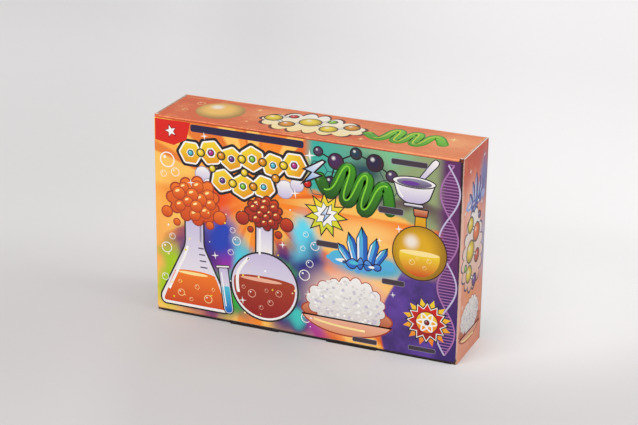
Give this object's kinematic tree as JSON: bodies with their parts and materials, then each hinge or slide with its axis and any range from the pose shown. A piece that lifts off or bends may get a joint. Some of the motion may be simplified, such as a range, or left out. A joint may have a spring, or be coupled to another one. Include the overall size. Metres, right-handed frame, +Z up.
{
  "type": "chemistry set case",
  "caption": "Hinged-lid carton of micro-flute board with roll-over ends and a tuck-in lid, holding a beginner's chemistry kit on a die-cut platform.",
  "frame": {"origin": "middle of the outline, on the surface that the case stands on", "axes": "+X along the width to the right as seen from the lid, +Y to the back panel, +Z up; the lid faces -Y"},
  "size_m": [0.3, 0.068, 0.195],
  "materials": {
    "printed_lid_board": "gloss",
    "printed_wall_board": "gloss",
    "plain_board": "matte",
    "insert_board": "matte",
    "foam_seal": "matte",
    "red_cap": "gloss",
    "blue_cap": "gloss",
    "green_cap": "gloss",
    "white_jar": "satin",
    "clear_tube": "gloss",
    "soft_stopper": "matte",
    "clear_cup": "gloss",
    "rubber_bulb": "matte",
    "white_spatula": "satin",
    "goggle_white": "gloss",
    "goggle_smoke": "gloss",
    "pin_steel": "polished",
    "booklet_cover_paper": "satin",
    "booklet_paper": "matte"
  },
  "bodies": {
    "carton": {"back_panel": "printed_wall_board", "booklet_cover": "booklet_cover_paper", "booklet_pages": "booklet_paper", "bottom_wall": "printed_wall_board", "dropper_bulb": "rubber_bulb", "dropper_tube": "clear_tube", "dust_flap_lower_left": "plain_board", "dust_flap_lower_right": "plain_board", "dust_flap_upper_left": "plain_board", "dust_flap_upper_right": "plain_board", "goggle_frame": "goggle_white", "goggle_hinge_pins": "pin_steel", "goggle_lens_left": "goggle_smoke", "goggle_lens_right": "goggle_smoke", "goggle_temple_left": "goggle_white", "goggle_temple_right": "goggle_white", "insert_deck": "insert_board", "insert_leg_lower": "insert_board", "insert_leg_upper": "insert_board", "jar_1": "white_jar", "jar_2": "white_jar", "jar_3": "white_jar", "left_end_liner": "plain_board", "left_end_wall": "printed_wall_board", "measuring_cup": "clear_cup", "right_end_liner": "plain_board", "right_end_wall": "printed_wall_board", "spatula": "white_spatula", "test_tube_1": "clear_tube", "test_tube_2": "clear_tube", "top_wall": "printed_wall_board"},
    "lid": {"lid_panel": "printed_lid_board"},
    "tuck_flap": {"tuck_flap": "plain_board"},
    "seal_1": {"jar_liner_1": "foam_seal"},
    "cap_1": {"jar_cap_1": "red_cap"},
    "seal_2": {"jar_liner_2": "foam_seal"},
    "cap_2": {"jar_cap_2": "blue_cap"},
    "seal_3": {"jar_liner_3": "foam_seal"},
    "cap_3": {"jar_cap_3": "green_cap"},
    "stopper_1": {"tube_stopper_1": "soft_stopper"},
    "stopper_2": {"tube_stopper_2": "soft_stopper"}
  },
  "joints": [
    {"name": "lid_hinge", "type": "hinge", "parent": "carton", "child": "lid", "pos_m": [0, -0.0322, 0.1932], "axis": [-1, 0, 0], "range_deg": [0, 120]},
    {"name": "tuck_flap_hinge", "type": "hinge", "parent": "lid", "child": "tuck_flap", "pos_m": [0, -0.0322, 0.0033], "axis": [-1, 0, 0], "range_deg": [0, 36.5]},
    {"name": "cap_rise_1", "type": "slide", "parent": "carton", "child": "seal_1", "axis": [0, -1, 0], "range_m": [0, 0.00301]},
    {"name": "cap_turn_1", "type": "hinge", "parent": "seal_1", "child": "cap_1", "pos_m": [-0.01148, -0.0168, 0.16122], "axis": [0, -1, 0], "range_deg": [0, 360]},
    {"name": "cap_rise_2", "type": "slide", "parent": "carton", "child": "seal_2", "axis": [0, -1, 0], "range_m": [0, 0.00301]},
    {"name": "cap_turn_2", "type": "hinge", "parent": "seal_2", "child": "cap_2", "pos_m": [0.02654, -0.0168, 0.16122], "axis": [0, -1, 0], "range_deg": [0, 360]},
    {"name": "cap_rise_3", "type": "slide", "parent": "carton", "child": "seal_3", "axis": [0, -1, 0], "range_m": [0, 0.00301]},
    {"name": "cap_turn_3", "type": "hinge", "parent": "seal_3", "child": "cap_3", "pos_m": [0.06456, -0.0168, 0.16122], "axis": [0, -1, 0], "range_deg": [0, 360]},
    {"name": "stopper_pull_1", "type": "slide", "parent": "carton", "child": "stopper_1", "axis": [1, 0, 0], "range_m": [0, 0.014]},
    {"name": "stopper_pull_2", "type": "slide", "parent": "carton", "child": "stopper_2", "axis": [1, 0, 0], "range_m": [0, 0.014]}
  ],
  "couplings": [
    {"joint": "tuck_flap_hinge", "follows": "lid_hinge", "ratio": 0.3},
    {"joint": "cap_rise_1", "follows": "cap_turn_1", "m_per_rad": 0.00047746},
    {"joint": "cap_rise_2", "follows": "cap_turn_2", "m_per_rad": 0.00047746},
    {"joint": "cap_rise_3", "follows": "cap_turn_3", "m_per_rad": 0.00047746}
  ]
}
